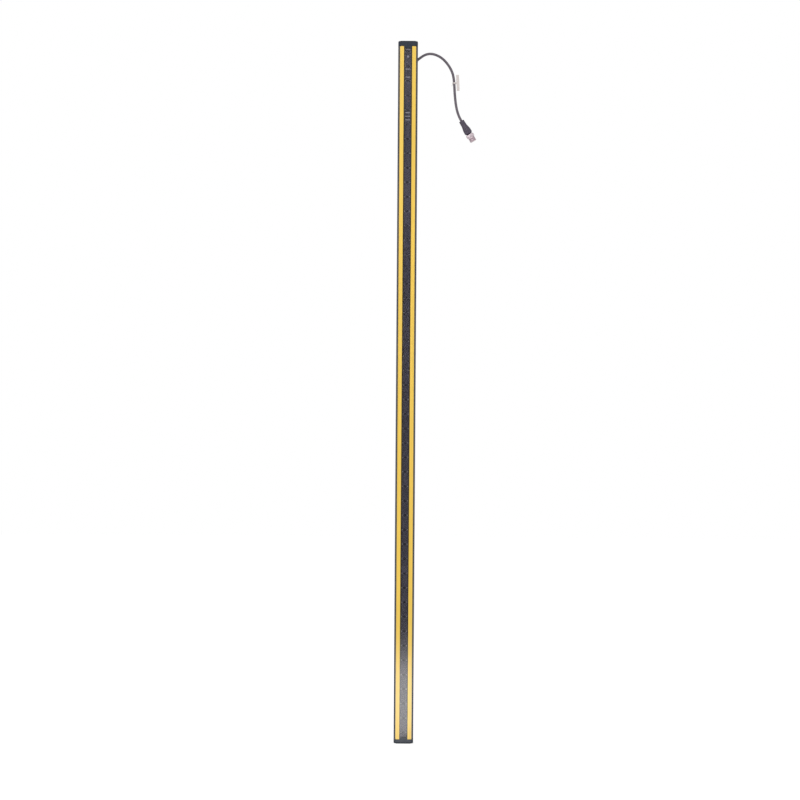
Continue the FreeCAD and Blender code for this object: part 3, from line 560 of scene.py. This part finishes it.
def make_nut():
    """Coupling nut: fluted collar, M12 thread with its runout, and an open bore."""
    start, end, collar = along_plug("coupling_nut")
    sleeve = start + COLLAR_LENGTH
    thread_start = sleeve + THREAD_RELIEF

    def fluted(radius, depth):
        return lambda angle: radius - depth * (0.5 + 0.5 * math.cos(COLLAR_FLUTES * angle)) ** 2

    def threaded(station):
        run_in = eased((station - thread_start) / THREAD_PITCH)
        run_out = eased((end - THREAD_STOP - station) / THREAD_PITCH)
        lead = THREAD_LEAD * (1 - eased((end - station) / THREAD_LEAD))
        depth = THREAD_DEPTH * run_in * run_out

        def radius_at(angle):
            phase = (station / THREAD_PITCH - angle / (2 * math.pi)) % 1.0
            groove = 1 - abs(2 * phase - 1)
            return THREAD_RADIUS - lead - depth * eased(groove)

        return radius_at

    def corner(end_station, inward):
        """Rows of one corner, from the collar's end inward."""
        return [
            (
                end_station + inward * way * COLLAR_EDGE,
                fluted(collar - drop * COLLAR_EDGE, share * COLLAR_FLUTE_DEPTH),
            )
            for way, drop, share in COLLAR_CORNER
        ]

    rows = [(start, steady(NUT_NECK_RADIUS))]
    rows += corner(start, 1)
    rows += reversed(corner(sleeve, -1))
    rows.append((sleeve, steady(THREAD_RADIUS)))
    turns = (end - thread_start) / THREAD_PITCH
    count = round(turns * THREAD_ROWS_PER_TURN)
    for row in range(count + 1):
        station = thread_start + (end - thread_start) * row / count
        rows.append((station, threaded(station)))
    rows += [
        (end, steady(NUT_BORE_RADIUS + BORE_CHAMFER)),
        (end - BORE_CHAMFER, steady(NUT_BORE_RADIUS)),
        (start + NUT_REAR_WALL, steady(NUT_BORE_RADIUS)),
        (start + NUT_REAR_WALL, steady(NUT_NECK_RADIUS)),
    ]
    nut = lathe("plug_nut", rows, NUT_COLUMNS, closed=True)
    shade(nut, NUT_SHARP_ANGLE)
    return nut


# ---- Lens tabs: painted glints beside the lenses -----------------------------------------------

BEAMS = 48
BEAM_PITCH = 0.025
LENS_DOME_HEIGHT = 0.0012
# Place and size of the tabs whose pale colour paints the lens-edge glints.
GLINT_TAB_PLACE = 0.00436
GLINT_TAB_HALF_SIZE = (0.00050, 0.00105, 0.00130)
GLINT_TAB_SEGMENTS = 12
GLINT_TAB_RINGS = 8


def make_painted_glint_tabs():
    """Small domed tabs of the lens strips, one on each side of every lens; their pale colour is a painted
    highlight for the glints on the lens edges.
    """
    lower_strip, upper_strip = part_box("lens_strip_2"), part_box("lens_strip_3")
    middle = (lower_strip[1].z + upper_strip[0].z) / 2
    plate_front = lower_strip[0].y + LENS_DOME_HEIGHT
    mesh = bmesh.new()
    for beam in range(BEAMS):
        height = middle + (beam - (BEAMS - 1) / 2) * BEAM_PITCH
        for side in (-1, 1):
            place = Matrix.Translation((side * GLINT_TAB_PLACE, plate_front, height))
            shape = place @ Matrix.Diagonal((*GLINT_TAB_HALF_SIZE, 1.0))
            bmesh.ops.create_uvsphere(
                mesh, u_segments=GLINT_TAB_SEGMENTS, v_segments=GLINT_TAB_RINGS, radius=1.0, matrix=shape
            )
    glint_tabs = new_object("painted_glint_tabs", mesh)
    glint_tabs.data.shade_smooth()
    return glint_tabs


# ---- Stage -------------------------------------------------------------------------------------

FLOOR_HALF = 9.0
FLOOR_COLOUR = (0.86, 0.86, 0.86)
FLOOR_ROUGHNESS = 0.9
FLOOR_LIFT = 0.54
WORLD_STRENGTH = 0.55


def seen_directly(tree):
    """1 for camera, glossy and transmission rays, 0 for the rays that light the object."""
    path = tree.nodes.new("ShaderNodeLightPath")
    value = path.outputs["Is Camera Ray"]
    for name in ("Is Glossy Ray", "Is Transmission Ray"):
        either = tree.nodes.new("ShaderNodeMath")
        either.operation = "MAXIMUM"
        tree.links.new(value, either.inputs[0])
        tree.links.new(path.outputs[name], either.inputs[1])
        value = either.outputs[0]
    return value


def add_world():
    """White where it is seen, a plain soft light elsewhere."""
    world = bpy.data.worlds.new("studio")
    world.use_nodes = True
    SCENE.world = world
    tree = world.node_tree
    background = tree.nodes["Background"]
    background.inputs["Color"].default_value = (1, 1, 1, 1)
    strength = tree.nodes.new("ShaderNodeMapRange")
    strength.inputs["To Min"].default_value = WORLD_STRENGTH
    strength.inputs["To Max"].default_value = 1.0
    tree.links.new(seen_directly(tree), strength.inputs["Value"])
    tree.links.new(strength.outputs["Result"], background.inputs["Strength"])


def add_floor():
    """Pale floor that reads as white and keeps the object's shadow."""
    mesh = bmesh.new()
    bmesh.ops.create_grid(mesh, x_segments=1, y_segments=1, size=FLOOR_HALF)
    floor = new_object("floor", mesh)
    material = bpy.data.materials.new("floor")
    material.use_nodes = True
    tree = material.node_tree
    shader = tree.nodes["Principled BSDF"]
    shader.inputs["Base Color"].default_value = (*FLOOR_COLOUR, 1)
    shader.inputs["Roughness"].default_value = FLOOR_ROUGHNESS
    shader.inputs["Specular IOR Level"].default_value = 0.0
    shader.inputs["Emission Color"].default_value = (1, 1, 1, 1)
    lift = tree.nodes.new("ShaderNodeMapRange")
    lift.inputs["To Min"].default_value = 0.0
    lift.inputs["To Max"].default_value = FLOOR_LIFT
    tree.links.new(seen_directly(tree), lift.inputs["Value"])
    tree.links.new(lift.outputs["Result"], shader.inputs["Emission Strength"])
    floor.data.materials.append(material)


def add_lamp(name, place, target, size, power):
    """Rectangular soft lamp turned towards a point."""
    data = bpy.data.lights.new(name, "AREA")
    data.shape = "RECTANGLE"
    data.size, data.size_y = size
    data.energy = power
    lamp = bpy.data.objects.new(name, data)
    lamp.location = place
    lamp.rotation_euler = (Vector(target) - Vector(place)).to_track_quat("-Z", "Y").to_euler()
    lamp.visible_camera = False
    SCENE.collection.objects.link(lamp)
    return lamp


# Name, place, width and height, power.
LAMPS = (
    ("left_lamp", (-1.6, -0.9, 0.75), (0.35, 1.7), 8.0),
    ("right_lamp", (1.7, -0.8, 0.75), (0.35, 1.7), 7.3),
    ("front_lamp", (-0.4, -2.8, 2.2), (1.6, 1.2), 28.0),
)


def add_lamps():
    """Two tall side lamps and a broad one above the camera, turned to the picture's middle."""
    for name, place, size, power in LAMPS:
        add_lamp(name, place, (0, 0, VIEW_CENTRE.z), size, power)


FOOT_LAMP_PLACE = -0.12
FOOT_LAMP_WIDTH = 0.045
# Name, bottom, top, power.
FOOT_LAMPS = (
    ("foot_lamp", 0.001, 0.132, 0.335),
    ("foot_lamp_fade", 0.132, 0.166, 0.0250),
)


def add_foot_lamps():
    """Low panels, one above the other, whose reflection makes the haze on the bar's foot."""
    for name, bottom, top, power in FOOT_LAMPS:
        middle = (bottom + top) / 2
        size = (FOOT_LAMP_WIDTH, top - bottom)
        lamp = add_lamp(name, (0, FOOT_LAMP_PLACE, middle), (0, 0, middle), size, power)
        lamp.visible_diffuse = False


# ---- Put together ------------------------------------------------------------------------------


def main():
    """Camera and cord first, then the finishes, the modelled pieces and the studio."""
    add_camera()
    cable = add_cable()
    materials = make_materials()
    dress_nodes(materials)
    grip = make_plug_grip()
    nut = make_nut()
    for piece, body, slot, node in (
        (cable, "bar", "cable", "cable"),
        (grip, "bar", "plug", "connector_body"),
        (nut, "nut", "nut", "coupling_nut"),
    ):
        piece.data.materials.append(materials[slot])
        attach(piece, body)
        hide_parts(node)
    # Pale tabs beside the lenses: painted glints on the lens edges.
    glint_tabs = make_painted_glint_tabs()
    glint_tabs.data.materials.append(glint_tab_finish().material)
    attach(glint_tabs, "bar")
    add_world()
    add_floor()
    add_lamps()
    add_foot_lamps()
    SCENE.view_settings.view_transform = "Standard"


main()
